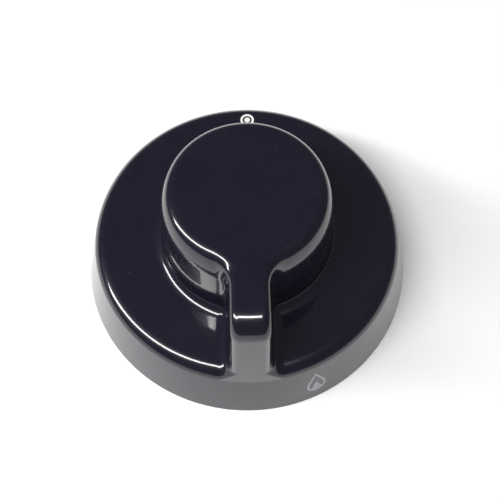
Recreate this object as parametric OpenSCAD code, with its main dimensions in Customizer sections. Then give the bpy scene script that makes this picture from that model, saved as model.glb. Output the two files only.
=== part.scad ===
/* [Skirt] */
// Diameter of the skirt at its lower edge
skirt_d = 60; // [56:0.5:66]
// Height of the skirt's flat top above the panel
skirt_h = 11.9; // [10:0.1:14]
// Lean of the skirt's outer wall from upright, in degrees
skirt_draft = 10.5; // [5:0.5:12]
// Radius of the rim between the skirt's wall and its top
rim_r = 2.1; // [0.8:0.1:2.5]

/* [Grip] */
// Height of the grip's flat top above the panel
grip_h = 29; // [26:0.1:32]
// Diameter of the round head where its side starts to curve inwards
head_d = 30.5; // [27:0.1:32]
// Radius of the long curve at the upper part of the head's side
head_side_r = 10; // [6:0.5:14]
// Radius of the tighter curve that runs from there into the head's top
head_top_r = 2.3; // [1.2:0.1:4]
// Slope at which the two curves meet, in degrees from upright
head_turn = 23; // [15:1:40]
// Lean of the head's side wall from upright, in degrees
grip_draft = 0.5; // [0.5:0.5:3]
// Width of the pointer bar just under its rounded top
bar_w = 7; // [6:0.1:9]
// Lean of the bar's side walls from upright, in degrees
bar_draft = 1; // [0.5:0.5:2]
// Radius along the top edges of the bar
bar_edge_r = 1.5; // [0.8:0.1:2.5]
// Radius of the bar's nose, over the skirt's wall
nose_r = 4.4; // [3:0.1:6]
// Radius of the hollow fillet where the grip meets the skirt
root_r = 2.2; // [0.6:0.1:3]
// Radius of the upright corner between the head and the bar
corner_r = 1.6; // [0.8:0.1:2.5]

/* [Underside] */
// Thickness of the skirt's wall and of its top
shell_t = 2.4; // [1.8:0.1:2.8]
// Thickness of the head's and the bar's walls
grip_t = 2.3; // [1.8:0.1:2.6]
// Diameter of the hub that takes the spindle
hub_d = 14; // [13:0.5:15]
// Distance from the panel to the hub's mouth
hub_set = 1; // [0.5:0.1:2]
// Thickness of the webs that join the hub to the head
web_t = 1.6; // [1.2:0.1:2]
// Number of webs round the hub
web_n = 4; // [3:1:6]
// Width of the broken moulding gate on the skirt's lower front edge
gate_w = 4; // [2:0.5:6]
// Height of the broken gate
gate_h = 0.5; // [0.3:0.1:0.8]
// How far the broken gate stands out
gate_proud = 0.12; // [0.05:0.01:0.2]

/* [Spindle bore] */
// Diameter of the D shaped bore
bore_d = 8.1; // [8:0.05:8.2]
// Diameter of the round stretch behind the mouth
mouth_d = 9; // [8.8:0.1:9.4]
// Length of the round stretch, with its lead-in cone
mouth_l = 5; // [4:0.5:6]
// Depth of the lead-in cone
lead_in = 0.5; // [0.3:0.1:0.8]
// Depth of the whole bore from the hub's mouth
bore_l = 17; // [15:0.5:19]
// Distance from the axis to the flat of the D
flat_y = 2.55; // [2.5:0.05:2.7]
// Distance from the axis to the floor of the spring's pocket
pocket_y = 3.35; // [3.3:0.05:3.4]
// Thickness of the spring leaf
leaf_t = 0.4; // [0.3:0.05:0.5]
// Width of the spring leaf
leaf_w = 4; // [3:0.1:4.2]
// How far the leaf bows away from the pocket's floor
leaf_bow = 0.5; // [0.45:0.05:0.6]

/* [Marks] */
// Diameter of the off mark's ring
off_d = 2.6; // [2:0.1:3]
// Width of the ring's line
off_line = 0.42; // [0.3:0.02:0.5]
// Diameter of the dot inside the ring
off_dot_d = 1.1; // [0.8:0.1:1.3]
// Distance of the off mark from the knob's axis
off_y = 24.7; // [24:0.1:25]
// Turn of the off mark from the line of the bar, in degrees
off_turn = 1.5; // [0:0.5:2]
// Turn of the flame symbol from the bar, in degrees
flame_turn = 24; // [20:1:40]
// Width of the flame symbol
flame_w = 3.8; // [3:0.1:4.2]
// Height of the middle of the flame's round foot above the panel
flame_z = 4.3; // [3.8:0.1:4.6]
// Width of the line round the flame
flame_line = 0.5; // [0.3:0.05:0.6]
// Thickness of the marks' ink
ink_t = 0.06; // [0.04:0.01:0.1]

/* [Hidden] */
$fn = 96;
skirt_r = skirt_d / 2;
head_r = head_d / 2;
head_curve = head_side_r - head_top_r;
head_top_x = head_r - head_side_r * cos(grip_draft) + head_curve * cos(head_turn);
head_side_z = grip_h - head_top_r - head_curve * sin(head_turn);
head_wall_z = head_side_z + head_side_r * sin(grip_draft);
grip_base_r = head_r + head_wall_z * tan(grip_draft);
bar_base_w = bar_w + 2 * (grip_h - bar_edge_r) * tan(bar_draft);
roof_z = skirt_h - shell_t;
cap_z = grip_h - grip_t;
hub_r = hub_d / 2;
bore_r = bore_d / 2;
mouth_r = mouth_d / 2;
slip = 0.01;
leaf_l = bore_l - mouth_l - 1;
leaf_mid_r = (leaf_l * leaf_l / 4 + leaf_bow * leaf_bow) / (2 * leaf_bow);
mould_black = [0.06, 0.055, 0.075];

// Radius at height z of a wall that leans inwards from its foot
function wall_r(foot, lean, z) = foot - z * tan(lean);

// Half section of a leaning wall with a flat top and a rounded edge between them
module tapered_section(foot, lean, top, edge) {
    cz = top - edge;
    cx = wall_r(foot, lean, cz) - edge / cos(lean);
    polygon([
        [0, 0],
        [foot, 0],
        [cx + edge * cos(lean), cz + edge * sin(lean)],
        [cx, top],
        [0, top]
    ]);
    translate([cx, cz]) circle(edge);
}

// Material that fills an inside corner at [x, z] up to a hollow arc
module hollow_fillet(x, z, r) {
    difference() {
        translate([x - 1, z - 1]) square([r + 1, r + 1]);
        translate([x + r, z + r]) circle(r);
    }
}

module skirt_solid() {
    rotate_extrude()
        tapered_section(skirt_r, skirt_draft, skirt_h, rim_r);
}

// Half section of the head, whose side curves into the top by two arcs
module head_section() {
    side_x = head_r - head_side_r * cos(grip_draft);
    meet_x = head_top_x + head_top_r * cos(head_turn);
    meet_z = grip_h - head_top_r + head_top_r * sin(head_turn);
    polygon([
        [0, 0],
        [grip_base_r, 0],
        [head_r, head_wall_z],
        [meet_x, meet_z],
        [head_top_x, grip_h],
        [0, grip_h]
    ]);
    translate([head_top_x, grip_h - head_top_r]) circle(head_top_r);
    intersection() {
        translate([side_x, head_side_z]) circle(head_side_r);
        polygon([[head_r, head_wall_z], [head_r + 1, head_wall_z], [head_r + 1, meet_z], [meet_x, meet_z]]);
    }
}

module head_solid() {
    rotate_extrude() head_section();
    rotate_extrude()
        hollow_fillet(wall_r(grip_base_r, grip_draft, skirt_h), skirt_h, root_r);
}

// Both sides of the bar's cross section, with the fillets along its foot
module bar_section() {
    for (side = [0, 1]) mirror([side, 0]) {
        tapered_section(bar_base_w / 2, bar_draft, grip_h, bar_edge_r);
        hollow_fillet(wall_r(bar_base_w / 2, bar_draft, skirt_h), skirt_h, root_r);
    }
}

// The bar runs out to the skirt's own wall, carried on upwards to the rounded nose
module bar_solid() {
    intersection() {
        rotate([90, 0, 0]) linear_extrude(skirt_r + 1) bar_section();
        rotate_extrude() tapered_section(skirt_r, skirt_draft, grip_h, nose_r);
    }
}

// Upright rounded corners between the head and the bar
module corner_solid() {
    x = bar_w / 2 + corner_r;
    y = sqrt(pow(head_r + corner_r, 2) - x * x);
    for (side = [0, 1]) mirror([side, 0, 0])
        translate([0, 0, roof_z]) linear_extrude(head_wall_z - roof_z)
            difference() {
                polygon([
                    [0, 0],
                    [x * head_r / (head_r + corner_r), -y * head_r / (head_r + corner_r)],
                    [x, -y],
                    [bar_w / 2, -y],
                    [0, -y]
                ]);
                translate([x, -y]) circle(corner_r);
            }
}

// The hollow under the skirt, the head and the bar
module underside_hollow() {
    inner_r = head_r - grip_t;
    inner_w = bar_w - 2 * grip_t;
    rotate_extrude()
        polygon([
            [0, -1],
            [skirt_r - shell_t, -1],
            [skirt_r - shell_t, 0],
            [wall_r(skirt_r - shell_t, skirt_draft, roof_z), roof_z],
            [0, roof_z]
        ]);
    translate([0, 0, roof_z - 1]) cylinder(h = cap_z - roof_z + 1, r = inner_r);
    translate([-inner_w / 2, -skirt_r + shell_t + nose_r, roof_z - 1])
        cube([inner_w, skirt_r - shell_t - nose_r, cap_z - roof_z + 1]);
}

module hub_solid() {
    translate([0, 0, hub_set]) cylinder(h = cap_z - hub_set + 1, r = hub_r);
    for (k = [0 : web_n - 1]) rotate(45 + k * 360 / web_n)
        translate([0, -web_t / 2, roof_z])
            cube([head_r - grip_t / 2, web_t, cap_z - roof_z + 1]);
}

// Round at the mouth behind a lead-in cone, then D shaped
module spindle_bore() {
    translate([0, 0, hub_set - 1]) cylinder(h = mouth_l + 1, r = mouth_r);
    translate([0, 0, hub_set - slip]) cylinder(h = lead_in, r1 = mouth_r + lead_in, r2 = mouth_r);
    intersection() {
        translate([0, 0, hub_set]) cylinder(h = bore_l, r = bore_r);
        union() {
            translate([-bore_r, -bore_r, hub_set]) cube([2 * bore_r, bore_r + flat_y, bore_l]);
            translate([-leaf_w / 2 - 0.1, 0, hub_set]) cube([leaf_w + 0.2, pocket_y, bore_l]);
        }
    }
}

// Stub of the moulding gate, broken off at the skirt's lower front edge
module gate_stub() {
    translate([-gate_w / 2, -skirt_r - gate_proud, 0]) cube([gate_w, gate_proud + shell_t / 2, gate_h]);
}

module knob_body() {
    color(mould_black) difference() {
        union() {
            difference() {
                union() {
                    skirt_solid();
                    head_solid();
                    bar_solid();
                    corner_solid();
                }
                underside_hollow();
            }
            hub_solid();
            gate_stub();
        }
        spindle_bore();
    }
}

// Bowed steel leaf in the bore's pocket, which presses on the flat of the spindle
module spindle_spring() {
    mid_z = hub_set + mouth_l + 0.5 + leaf_l / 2;
    centre_y = pocket_y - slip - leaf_t - leaf_bow + leaf_mid_r;
    color("silver") intersection() {
        translate([-leaf_w / 2, centre_y, mid_z]) rotate([0, 90, 0]) difference() {
            cylinder(h = leaf_w, r = leaf_mid_r);
            translate([0, 0, -1]) cylinder(h = leaf_w + 2, r = leaf_mid_r - leaf_t);
        }
        translate([-leaf_w / 2, 0, mid_z - leaf_l / 2]) cube([leaf_w, pocket_y - slip, leaf_l]);
    }
}

// Ring and dot printed at the back of the skirt's top
module off_mark() {
    color("ivory") rotate(-off_turn) translate([0, off_y, skirt_h]) {
        difference() {
            cylinder(h = ink_t, d = off_d);
            translate([0, 0, -1]) cylinder(h = 2, d = off_d - 2 * off_line);
        }
        cylinder(h = ink_t, d = off_dot_d);
    }
}

// Outline of a flame with a round foot of radius r, and its tip at height tip
function flame_outline(r, tip) =
    let (start = asin(r / tip), sweep = 180 + 2 * start)
    concat([[0, tip]], [for (k = [0 : 24]) r * [cos(start - k * sweep / 24), sin(start - k * sweep / 24)]]);

// Flame printed on the skirt's wall, a line round a smaller full flame
module flame_symbol() {
    r = flame_w / 2;
    color("gainsboro") intersection() {
        rotate([90, 0, flame_turn]) translate([0, flame_z, 0]) linear_extrude(skirt_r + 1) {
            difference() {
                polygon(flame_outline(r, 2.1 * r));
                polygon(flame_outline(r - flame_line, 2.1 * r - 1.7 * flame_line));
            }
            translate([0, -r / 2]) polygon(flame_outline(r / 2, 1.1 * r));
        }
        difference() {
            cylinder(h = roof_z, r1 = skirt_r + ink_t, r2 = wall_r(skirt_r, skirt_draft, roof_z) + ink_t);
            cylinder(h = roof_z, r1 = skirt_r, r2 = wall_r(skirt_r, skirt_draft, roof_z));
        }
    }
}

knob_body();
spindle_spring();
off_mark();
flame_symbol();
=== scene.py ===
import math

import bpy
import numpy as np
from mathutils import Matrix, Vector


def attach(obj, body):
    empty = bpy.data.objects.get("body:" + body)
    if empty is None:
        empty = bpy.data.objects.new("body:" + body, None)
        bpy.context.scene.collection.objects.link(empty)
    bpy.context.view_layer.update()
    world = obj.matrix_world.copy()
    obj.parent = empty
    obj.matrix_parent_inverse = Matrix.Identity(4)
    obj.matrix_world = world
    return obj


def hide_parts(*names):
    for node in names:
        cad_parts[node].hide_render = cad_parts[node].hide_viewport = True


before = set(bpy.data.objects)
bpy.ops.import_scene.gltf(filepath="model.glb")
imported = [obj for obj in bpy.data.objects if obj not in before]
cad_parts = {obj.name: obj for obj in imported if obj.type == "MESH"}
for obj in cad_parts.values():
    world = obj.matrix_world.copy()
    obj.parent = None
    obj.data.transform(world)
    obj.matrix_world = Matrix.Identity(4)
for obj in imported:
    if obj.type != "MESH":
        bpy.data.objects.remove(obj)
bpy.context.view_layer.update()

MM = 0.001

# Sizes, in millimetres
SKIRT_R = 30.0
SKIRT_H = 11.9
SKIRT_DRAFT = math.radians(10.5)
RIM_R = 2.1
HEAD_H = 29.0
HEAD_R = 15.25
HEAD_SIDE_R = 10.0
HEAD_TOP_R = 2.3
HEAD_TURN = math.radians(23.0)
HEAD_WALL_Z = 23.8
HEAD_DRAFT = math.radians(0.5)
BAR_HALF = 3.5
BAR_DRAFT = math.radians(1.0)
BAR_EDGE_R = 1.5
NOSE_R = 3.9
FACE_Z = 10.0
FACE_DRAFT = math.radians(5.2)
ROOT_R = 2.2
CORNER_R = 1.6
CORNER_TOP_R = 3.0
SHELL_T = 2.4
GRIP_T = 2.3
FOOT_R = 0.2
SLOT_END = -23.2
CAP_Z = HEAD_H - GRIP_T
HUB_R = 7.0
HUB_Z = 1.0
MOUTH_R = 4.5
MOUTH_END_Z = 6.0
LEAD_IN = 0.5
BORE_R = 4.05
BORE_END_Z = 18.0
FLAT_Y = 2.55
POCKET_Y = 3.35
POCKET_HALF = 2.1
WEB_T = 1.6
WEB_COUNT = 4


# The body as a distance field
def smooth_step(x, low, high):
    t = np.clip((x - low) / (high - low), 0.0, 1.0)
    return t * t * (3.0 - 2.0 * t)


def rounded_and(a, b, ra, rb):
    """Where both fields are inside, with an elliptic rounding of radii ra and rb along the edge."""
    u = np.maximum(1.0 + a / ra, 0.0)
    v = np.maximum(1.0 + b / rb, 0.0)
    length = np.hypot(u, v)
    steep = np.maximum(np.hypot(u / ra, v / rb), 1e-9)
    rounded = (length - 1.0) * length / steep
    return np.where((u > 0) & (v > 0), rounded, np.maximum(a, b))


def rounded_or(a, b, r):
    """Where either field is inside, with a hollow fillet of radius r between them."""
    return np.maximum(r, np.minimum(a, b)) - np.hypot(np.maximum(r - a, 0.0), np.maximum(r - b, 0.0))


def shoulder(a, b):
    """Side field a and top field b joined by the head's two arcs, a long one below and a tight one above."""
    ux, uy = math.cos(HEAD_TURN), math.sin(HEAD_TURN)
    spread = HEAD_SIDE_R - HEAD_TOP_R
    top_x, top_y = -HEAD_SIDE_R + spread * ux, -HEAD_TOP_R
    qx, qy = a - top_x, b - top_y
    tight = np.hypot(qx, qy) - HEAD_TOP_R
    px, py = a + HEAD_SIDE_R, b - (top_y - spread * uy)
    long_arc = np.where(py > 0, np.hypot(px, np.maximum(py, 0.0)) - HEAD_SIDE_R, a)
    above = ux * qy - uy * qx >= 0
    return np.where(qx < 0, np.maximum(a, b), np.where(above, tight, long_arc))


def outer_field(x, y, z):
    """Signed distance, nearly, to the skirt, head and bar in one moulding."""
    rho = np.hypot(x, y)
    wall = (rho - (SKIRT_R - z * math.tan(SKIRT_DRAFT))) * math.cos(SKIRT_DRAFT)
    skirt = rounded_and(wall, z - SKIRT_H, RIM_R, RIM_R)
    head = rho - HEAD_R - (HEAD_WALL_Z - z) * math.tan(HEAD_DRAFT)
    half = BAR_HALF + (HEAD_H - BAR_EDGE_R - z) * math.tan(BAR_DRAFT)
    bar = np.maximum(np.abs(x) - half, y)
    corner = CORNER_R + (CORNER_TOP_R - CORNER_R) * smooth_step(z, 22.0, 29.0)
    grip = rounded_or(head, bar, corner)
    both = rounded_or(skirt, grip, ROOT_R)
    as_head = np.maximum(shoulder(both, z - HEAD_H), wall)
    face_r = SKIRT_R - FACE_Z * math.tan(SKIRT_DRAFT) - (z - FACE_Z) * math.tan(FACE_DRAFT)
    face = (rho - face_r) * math.cos(FACE_DRAFT)
    nose = rounded_and(z - HEAD_H, np.minimum(wall, face), NOSE_R, NOSE_R)
    edge = np.maximum(BAR_EDGE_R * smooth_step(z, SKIRT_H - 1.0, SKIRT_H + 1.5), 0.02)
    as_bar = rounded_and(nose, both, edge, edge)
    share = smooth_step(-y, 13.2, 17.6)
    return as_head * (1 - share) + as_bar * share


def hollow_field(x, y, z):
    """The moulding's hollow: under the skirt, inside the head and inside the bar."""
    rho = np.hypot(x, y)
    roof = SKIRT_H - SHELL_T
    cap = HEAD_H - GRIP_T
    under = rounded_and((rho - (SKIRT_R - SHELL_T - z * math.tan(SKIRT_DRAFT))) * math.cos(SKIRT_DRAFT),
                        z - roof, 0.9, 0.9)
    in_head = rounded_and(rho - (HEAD_R - GRIP_T), z - cap, 1.1, 1.1)
    slot_half = BAR_HALF - GRIP_T
    in_bar = rounded_and(rounded_and(np.abs(x) - slot_half, SLOT_END - y, 0.8, 0.8), z - cap, 0.8, 0.8)
    in_bar = np.maximum(in_bar, y)
    return rounded_or(under, np.minimum(in_head, in_bar), 0.6)


def body_field(x, y, z):
    shell = rounded_and(outer_field(x, y, z), -hollow_field(x, y, z), FOOT_R, FOOT_R)
    return rounded_and(shell, -z, FOOT_R, FOOT_R)


def field_slope(field, p, step=0.01):
    """Unit normals and slope lengths of a field at points p."""
    g = np.empty_like(p)
    for k in range(3):
        d = np.zeros(3)
        d[k] = step
        a, b = p + d, p - d
        g[:, k] = (field(a[:, 0], a[:, 1], a[:, 2]) - field(b[:, 0], b[:, 1], b[:, 2])) / (2 * step)
    size = np.linalg.norm(g, axis=1)
    return g / np.maximum(size, 1e-9)[:, None], np.maximum(size, 1e-6)


def skin_of_field(field, xs, ys, zs):
    """One vertex in each grid cell that the surface crosses, moved onto the surface, and the quads between them."""
    gx, gy, gz = np.meshgrid(xs, ys, zs, indexing="ij")
    f = field(gx, gy, gz)
    inside = f < 0
    nx, ny, nz = len(xs), len(ys), len(zs)
    count = np.zeros((nx - 1, ny - 1, nz - 1), np.int32)
    total = np.zeros((nx - 1, ny - 1, nz - 1, 3))
    grids = (gx, gy, gz)
    crossed = {}
    for axis in range(3):
        a = tuple(slice(0, -1) if k == axis else slice(None) for k in range(3))
        b = tuple(slice(1, None) if k == axis else slice(None) for k in range(3))
        cross = inside[a] != inside[b]
        crossed[axis] = cross
        i, j, k = np.nonzero(cross)
        fa, fb = f[a][i, j, k], f[b][i, j, k]
        t = fa / (fa - fb)
        pts = np.stack([g[a][i, j, k] * (1 - t) + g[b][i, j, k] * t for g in grids], 1)
        others = [m for m in range(3) if m != axis]
        for da in (0, 1):
            for db in (0, 1):
                c = [i.copy(), j.copy(), k.copy()]
                c[others[0]] -= da
                c[others[1]] -= db
                ok = np.ones(len(i), bool)
                for m, n in enumerate((nx - 1, ny - 1, nz - 1)):
                    ok &= (c[m] >= 0) & (c[m] < n)
                where = (c[0][ok], c[1][ok], c[2][ok])
                np.add.at(count, where, 1)
                np.add.at(total, where, pts[ok])
    index = -np.ones(count.shape, np.int64)
    used = count > 0
    index[used] = np.arange(used.sum())
    verts = total[used] / count[used][:, None]
    quads = []
    for axis in range(3):
        i, j, k = np.nonzero(crossed[axis])
        others = [m for m in range(3) if m != axis]
        c = [i, j, k]
        ok = (c[others[0]] > 0) & (c[others[1]] > 0)
        ok &= (c[others[0]] < index.shape[others[0]]) & (c[others[1]] < index.shape[others[1]])
        base = [m[ok] for m in c]
        low_inside = inside[base[0], base[1], base[2]]
        ring = []
        for da, db in ((1, 1), (0, 1), (0, 0), (1, 0)):
            q = [m.copy() for m in base]
            q[others[0]] -= da
            q[others[1]] -= db
            ring.append(index[q[0], q[1], q[2]])
        ring = np.stack(ring, 1)
        flip = low_inside if axis != 1 else ~low_inside
        ring[~flip] = ring[~flip][:, ::-1]
        quads.append(ring)
    quads = np.concatenate(quads)
    for _ in range(5):
        normal, slope = field_slope(field, verts)
        value = field(verts[:, 0], verts[:, 1], verts[:, 2])
        verts = verts - normal * np.clip(value / slope, -0.3, 0.3)[:, None]
    return verts, quads


def link_mesh(name, verts, faces, scale=MM):
    mesh = bpy.data.meshes.new(name)
    mesh.from_pydata([tuple(v) for v in np.asarray(verts) * scale], [], [tuple(int(i) for i in q) for q in faces])
    mesh.update()
    obj = bpy.data.objects.new(name, mesh)
    bpy.context.scene.collection.objects.link(obj)
    return obj


def make_body():
    plane = np.arange(-30.4, 30.41, 0.4)
    levels = np.concatenate([
        [-0.15, 0.05, 0.15, 0.3, 0.6, 1.0],
        np.arange(1.9, 8.6, 0.95),
        np.arange(8.7, 14.6, 0.24),
        np.arange(15.3, 23.0, 0.85),
        np.arange(23.4, 29.3, 0.24),
    ])
    verts, quads = skin_of_field(body_field, plane, plane + 0.03, levels)
    body = link_mesh("knob_shell", verts, quads)
    normal, _ = field_slope(body_field, verts)
    body.data.polygons.foreach_set("use_smooth", np.ones(len(quads), bool))
    body.data.normals_split_custom_set_from_vertices([tuple(n) for n in normal])
    return body


def bore_outline(angle):
    """Distance from the axis to the D shaped bore's wall, with the spring's pocket in its flat."""
    up, across = math.sin(angle), abs(math.cos(angle))
    if up <= 0 or BORE_R * up <= FLAT_Y:
        return BORE_R
    if FLAT_Y / up * across > POCKET_HALF:
        return FLAT_Y / up
    reach = [POCKET_Y / up, BORE_R]
    if across > 1e-6:
        reach.append(POCKET_HALF / across)
    return min(reach)


def make_hub():
    """The hub from its seat in the head down to its mouth, and the bore inside it."""
    corners = [math.atan2(FLAT_Y, POCKET_HALF), math.atan2(POCKET_Y, POCKET_HALF), math.asin(FLAT_Y / BORE_R)]
    angles = [k * math.tau / 96 for k in range(96)]
    angles += [a for c in corners for a in (c, math.pi - c)]
    angles += [math.atan2(FLAT_Y, POCKET_HALF) + 1e-3, math.pi - math.atan2(FLAT_Y, POCKET_HALF) - 1e-3]
    angles = sorted(set(angles))
    edge = 0.3
    profile = [(HUB_R, CAP_Z + 0.4), (HUB_R, HUB_Z + edge), (HUB_R - edge / 3, HUB_Z + edge / 3),
               (HUB_R - edge, HUB_Z), (MOUTH_R + LEAD_IN, HUB_Z), (MOUTH_R, HUB_Z + LEAD_IN),
               (MOUTH_R, MOUTH_END_Z)]
    rings = [[(r * math.cos(a), r * math.sin(a), z) for a in angles] for r, z in profile]
    for z in (MOUTH_END_Z, BORE_END_Z):
        rings.append([(bore_outline(a) * math.cos(a), bore_outline(a) * math.sin(a), z) for a in angles])
    verts = [v for ring in rings for v in ring] + [(0, 0, BORE_END_Z), (0, 0, CAP_Z + 0.4)]
    n, last = len(angles), len(rings) - 1
    faces = []
    for r in range(last):
        for k in range(n):
            m = (k + 1) % n
            faces.append((r * n + k, (r + 1) * n + k, (r + 1) * n + m, r * n + m))
    for k in range(n):
        m = (k + 1) % n
        faces.append((last * n + k, len(verts) - 2, last * n + m))
        faces.append((k, m, len(verts) - 1))
    hub = link_mesh("spindle_hub", verts, faces)
    hub.data.polygons.foreach_set("use_smooth", np.ones(len(faces), bool))
    hub.data.set_sharp_from_angle(angle=math.radians(30))
    return hub


def make_webs():
    """Thin walls that tie the hub to the head, made once and repeated round the axis."""
    roof = SKIRT_H - SHELL_T
    reach = HEAD_R - GRIP_T / 2
    bevel = 0.25
    half = WEB_T / 2
    outline = [(-half, CAP_Z + 0.4), (-half, roof + bevel), (-half + bevel, roof), (half - bevel, roof),
               (half, roof + bevel), (half, CAP_Z + 0.4)]
    verts = [(d, a, z) for d in (HUB_R - 0.5, reach) for a, z in outline]
    n = len(outline)
    faces = [(k, k + n, (k + 1) % n + n, (k + 1) % n) for k in range(n)]
    faces += [tuple(range(n)), tuple(reversed(range(n, 2 * n)))]
    one = link_mesh("web_piece", verts, faces)
    tree = bpy.data.node_groups.new("webs_round_hub", "GeometryNodeTree")
    tree.interface.new_socket("Geometry", in_out="INPUT", socket_type="NodeSocketGeometry")
    count = tree.interface.new_socket("Count", in_out="INPUT", socket_type="NodeSocketInt")
    paint_in = tree.interface.new_socket("Material", in_out="INPUT", socket_type="NodeSocketMaterial")
    tree.interface.new_socket("Geometry", in_out="OUTPUT", socket_type="NodeSocketGeometry")
    add, link = tree.nodes.new, tree.links.new
    source, result = add("NodeGroupInput"), add("NodeGroupOutput")
    circle, place, realize, dress = (add("GeometryNodeMeshCircle"), add("GeometryNodeInstanceOnPoints"),
                                     add("GeometryNodeRealizeInstances"), add("GeometryNodeSetMaterial"))
    circle.inputs["Radius"].default_value = 0.0
    index, share, turn, angle = (add("GeometryNodeInputIndex"), add("ShaderNodeMath"),
                                 add("ShaderNodeMath"), add("ShaderNodeCombineXYZ"))
    share.operation = "DIVIDE"
    turn.operation = "MULTIPLY_ADD"
    turn.inputs[1].default_value = math.tau
    turn.inputs[2].default_value = math.pi / 4
    link(source.outputs["Count"], circle.inputs["Vertices"])
    link(index.outputs[0], share.inputs[0])
    link(source.outputs["Count"], share.inputs[1])
    link(share.outputs[0], turn.inputs[0])
    link(turn.outputs[0], angle.inputs["Z"])
    link(circle.outputs["Mesh"], place.inputs["Points"])
    link(source.outputs["Geometry"], place.inputs["Instance"])
    link(angle.outputs[0], place.inputs["Rotation"])
    link(place.outputs["Instances"], realize.inputs["Geometry"])
    link(realize.outputs["Geometry"], dress.inputs["Geometry"])
    link(source.outputs["Material"], dress.inputs["Material"])
    link(dress.outputs["Geometry"], result.inputs["Geometry"])
    modifier = one.modifiers.new("webs", "NODES")
    modifier.node_group = tree
    modifier[count.identifier] = WEB_COUNT
    modifier[paint_in.identifier] = plastic
    mesh = bpy.data.meshes.new_from_object(one.evaluated_get(bpy.context.evaluated_depsgraph_get()))
    bpy.data.objects.remove(one)
    webs = bpy.data.objects.new("hub_webs", mesh)
    bpy.context.scene.collection.objects.link(webs)
    return webs


# Materials
def make_wear_group():
    """Mottle, rubbing and fine dust over a surface, by its own coordinates in metres."""
    group = bpy.data.node_groups.new("surface_wear", "ShaderNodeTree")
    for name, start in (("Mottle Scale", 180.0), ("Grain Scale", 2600.0), ("Dust Scale", 700.0), ("Dust Amount", 0.1)):
        socket = group.interface.new_socket(name, in_out="INPUT", socket_type="NodeSocketFloat")
        socket.default_value = start
    for name in ("Mottle", "Dust", "Height"):
        group.interface.new_socket(name, in_out="OUTPUT", socket_type="NodeSocketFloat")
    add, link = group.nodes.new, group.links.new
    source, result, place = add("NodeGroupInput"), add("NodeGroupOutput"), add("ShaderNodeTexCoord")
    mottle, grain, cells = add("ShaderNodeTexNoise"), add("ShaderNodeTexNoise"), add("ShaderNodeTexVoronoi")
    mottle.inputs["Detail"].default_value = 4.0
    grain.inputs["Detail"].default_value = 2.0
    for node, name in ((mottle, "Mottle Scale"), (grain, "Grain Scale"), (cells, "Dust Scale")):
        link(place.outputs["Object"], node.inputs["Vector"])
        link(source.outputs[name], node.inputs["Scale"])
    speck = add("ShaderNodeMath")
    speck.operation = "LESS_THAN"
    link(cells.outputs["Distance"], speck.inputs[0])
    link(source.outputs["Dust Amount"], speck.inputs[1])
    link(mottle.outputs["Fac"], result.inputs["Mottle"])
    link(speck.outputs[0], result.inputs["Dust"])
    link(grain.outputs["Fac"], result.inputs["Height"])
    return group


def worn_material(name, dark, light, rough, dust, bump, metallic=0.0):
    """A surface whose colour and roughness drift between two values, with dust and a fine grain."""
    material = bpy.data.materials.new(name)
    material.use_nodes = True
    tree = material.node_tree
    shader = tree.nodes["Principled BSDF"]
    add, link = tree.nodes.new, tree.links.new
    wear = add("ShaderNodeGroup")
    wear.node_tree = wear_group
    wear.inputs["Dust Amount"].default_value = dust
    colour, dusty = add("ShaderNodeMix"), add("ShaderNodeMix")
    for mix in (colour, dusty):
        mix.data_type = "RGBA"
    colour.inputs["A"].default_value = (*dark, 1)
    colour.inputs["B"].default_value = (*light, 1)
    dusty.inputs["B"].default_value = (0.12, 0.12, 0.13, 1)
    link(wear.outputs["Mottle"], colour.inputs["Factor"])
    link(colour.outputs["Result"], dusty.inputs["A"])
    link(wear.outputs["Dust"], dusty.inputs["Factor"])
    link(dusty.outputs["Result"], shader.inputs["Base Color"])
    spread = add("ShaderNodeMapRange")
    spread.inputs["To Min"].default_value = rough[0]
    spread.inputs["To Max"].default_value = rough[1]
    link(wear.outputs["Mottle"], spread.inputs["Value"])
    link(spread.outputs["Result"], shader.inputs["Roughness"])
    grain = add("ShaderNodeBump")
    grain.inputs["Distance"].default_value = bump
    link(wear.outputs["Height"], grain.inputs["Height"])
    link(grain.outputs["Normal"], shader.inputs["Normal"])
    shader.inputs["Metallic"].default_value = metallic
    return material, shader


def black_plastic():
    material, shader = worn_material("black_plastic", (0.0045, 0.0035, 0.011), (0.0075, 0.006, 0.015),
                                     (0.2, 0.34), 0.035, 2e-6)
    shader.inputs["IOR"].default_value = 1.5
    shader.inputs["Specular IOR Level"].default_value = 0.2
    shader.inputs["Coat Weight"].default_value = 1.0
    shader.inputs["Coat Roughness"].default_value = 0.04
    shader.inputs["Coat IOR"].default_value = 1.52
    return material


wear_group = make_wear_group()
plastic = black_plastic()
spring_steel, _ = worn_material("spring_steel", (0.42, 0.42, 0.44), (0.6, 0.6, 0.62), (0.22, 0.4), 0.02, 4e-6, 1.0)
mark_paint, _ = worn_material("mark_paint", (0.6, 0.59, 0.55), (0.8, 0.79, 0.74), (0.4, 0.6), 0.03, 4e-6)
symbol_ink, _ = worn_material("symbol_ink", (0.3, 0.3, 0.32), (0.44, 0.44, 0.46), (0.4, 0.6), 0.03, 4e-6)

# The knob's pieces
for piece in (make_body(), make_hub(), make_webs()):
    piece.data.materials.clear()
    piece.data.materials.append(plastic)
    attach(piece, "root")
    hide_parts("knob_body")

for node, slot, material in (("spindle_spring", "spring_steel", spring_steel),
                             ("off_mark", "mark_paint", mark_paint),
                             ("flame_symbol", "symbol_ink", symbol_ink)):
    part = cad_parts[node]
    part.data.materials.clear()
    part.data.materials.append(material)


# Floor, light and camera
CAMERA_ELEVATION = math.radians(63.94)
CAMERA_DISTANCE = 0.250
CAMERA_TARGET = (0.58, 2.67)
CAMERA_ROLL = math.radians(0.46)
KNOB_YAW = math.radians(1.9)
PIXELS_PER_MM = 5.17


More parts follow.
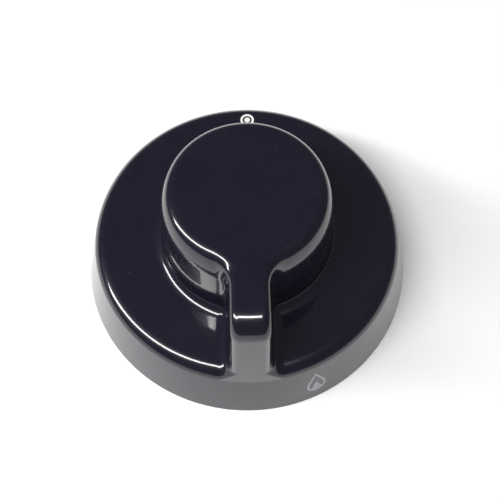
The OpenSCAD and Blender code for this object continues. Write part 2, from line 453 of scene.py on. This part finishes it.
def make_floor():
    mesh = bpy.data.meshes.new("floor")
    half = 0.25
    mesh.from_pydata([(-half, -half, 0), (half, -half, 0), (half, half, 0), (-half, half, 0)], [], [(0, 1, 2, 3)])
    floor = bpy.data.objects.new("floor", mesh)
    bpy.context.scene.collection.objects.link(floor)
    material = bpy.data.materials.new("floor_white")
    material.use_nodes = True
    shader = material.node_tree.nodes["Principled BSDF"]
    shader.inputs["Base Color"].default_value = (0.86, 0.86, 0.86, 1)
    shader.inputs["Roughness"].default_value = 0.9
    shader.inputs["Specular IOR Level"].default_value = 0.0
    mesh.materials.append(material)


def light_along(name, start, end, width, radiance):
    """A soft rectangular light between two points, facing the knob."""
    start, end = Vector(start), Vector(end)
    middle = (start + end) / 2
    length = (end - start).length
    data = bpy.data.lights.new(name, "AREA")
    data.shape = "RECTANGLE"
    data.size = length
    data.size_y = width
    data.energy = radiance * math.pi * length * width
    data.color = (1.0, 1.0, 1.0)
    light = bpy.data.objects.new(name, data)
    along = (end - start).normalized()
    back = middle.normalized()
    back = (back - along * back.dot(along)).normalized()
    side = back.cross(along)
    light.matrix_world = Matrix((
        (along.x, side.x, back.x, middle.x),
        (along.y, side.y, back.y, middle.y),
        (along.z, side.z, back.z, middle.z),
        (0, 0, 0, 1)))
    bpy.context.scene.collection.objects.link(light)


LIGHT_PATH = [(0.13, -0.21, 0.97), (-0.10, -0.21, 0.97), (-0.30, -0.26, 0.92), (-0.51, -0.25, 0.82), (-0.70, -0.16, 0.70),
              (-0.84, -0.03, 0.54), (-0.90, 0.05, 0.43)]
LIGHT_DISTANCE = 1.0
LIGHT_WIDTH = 0.15
LIGHT_RADIANCE = 23.0


def make_lights():
    turn = Matrix.Rotation(-KNOB_YAW, 3, "Z")
    points = [turn @ Vector(p).normalized() * LIGHT_DISTANCE for p in LIGHT_PATH]
    for i in range(len(points) - 1):
        light_along(f"strip_{i}", points[i], points[i + 1], LIGHT_WIDTH, LIGHT_RADIANCE)
    world = bpy.data.worlds.new("surroundings")
    bpy.context.scene.world = world
    world.use_nodes = True
    nodes, links = world.node_tree.nodes, world.node_tree.links
    background = nodes["Background"]
    path = nodes.new("ShaderNodeLightPath")
    mix = nodes.new("ShaderNodeMix")
    mix.data_type = "RGBA"
    mix.inputs["A"].default_value = (0.14, 0.14, 0.15, 1)
    mix.inputs["B"].default_value = (1, 1, 1, 1)
    links.new(path.outputs["Is Camera Ray"], mix.inputs["Factor"])
    links.new(mix.outputs["Result"], background.inputs["Color"])
    background.inputs["Strength"].default_value = 1.0


def make_camera():
    e = CAMERA_ELEVATION
    forward = Vector((0, math.cos(e), -math.sin(e)))
    right = Vector((1, 0, 0))
    up = Vector((0, math.sin(e), math.cos(e)))
    tilted_right = right * math.cos(CAMERA_ROLL) + up * math.sin(CAMERA_ROLL)
    tilted_up = up * math.cos(CAMERA_ROLL) - right * math.sin(CAMERA_ROLL)
    place = Vector((CAMERA_TARGET[0], CAMERA_TARGET[1], 0)) * MM - forward * CAMERA_DISTANCE
    matrix = Matrix((
        (tilted_right.x, tilted_up.x, -forward.x, place.x),
        (tilted_right.y, tilted_up.y, -forward.y, place.y),
        (tilted_right.z, tilted_up.z, -forward.z, place.z),
        (0, 0, 0, 1)))
    data = bpy.data.cameras.new("camera")
    data.sensor_width = 36.0
    data.lens = PIXELS_PER_MM * CAMERA_DISTANCE / MM * 36.0 / 500.0
    data.clip_start = 0.01
    data.clip_end = 20.0
    camera = bpy.data.objects.new("camera", data)
    camera.matrix_world = Matrix.Rotation(-KNOB_YAW, 4, "Z") @ matrix
    bpy.context.scene.collection.objects.link(camera)
    bpy.context.scene.camera = camera


make_floor()
make_lights()
make_camera()
bpy.context.scene.view_settings.view_transform = "Standard"
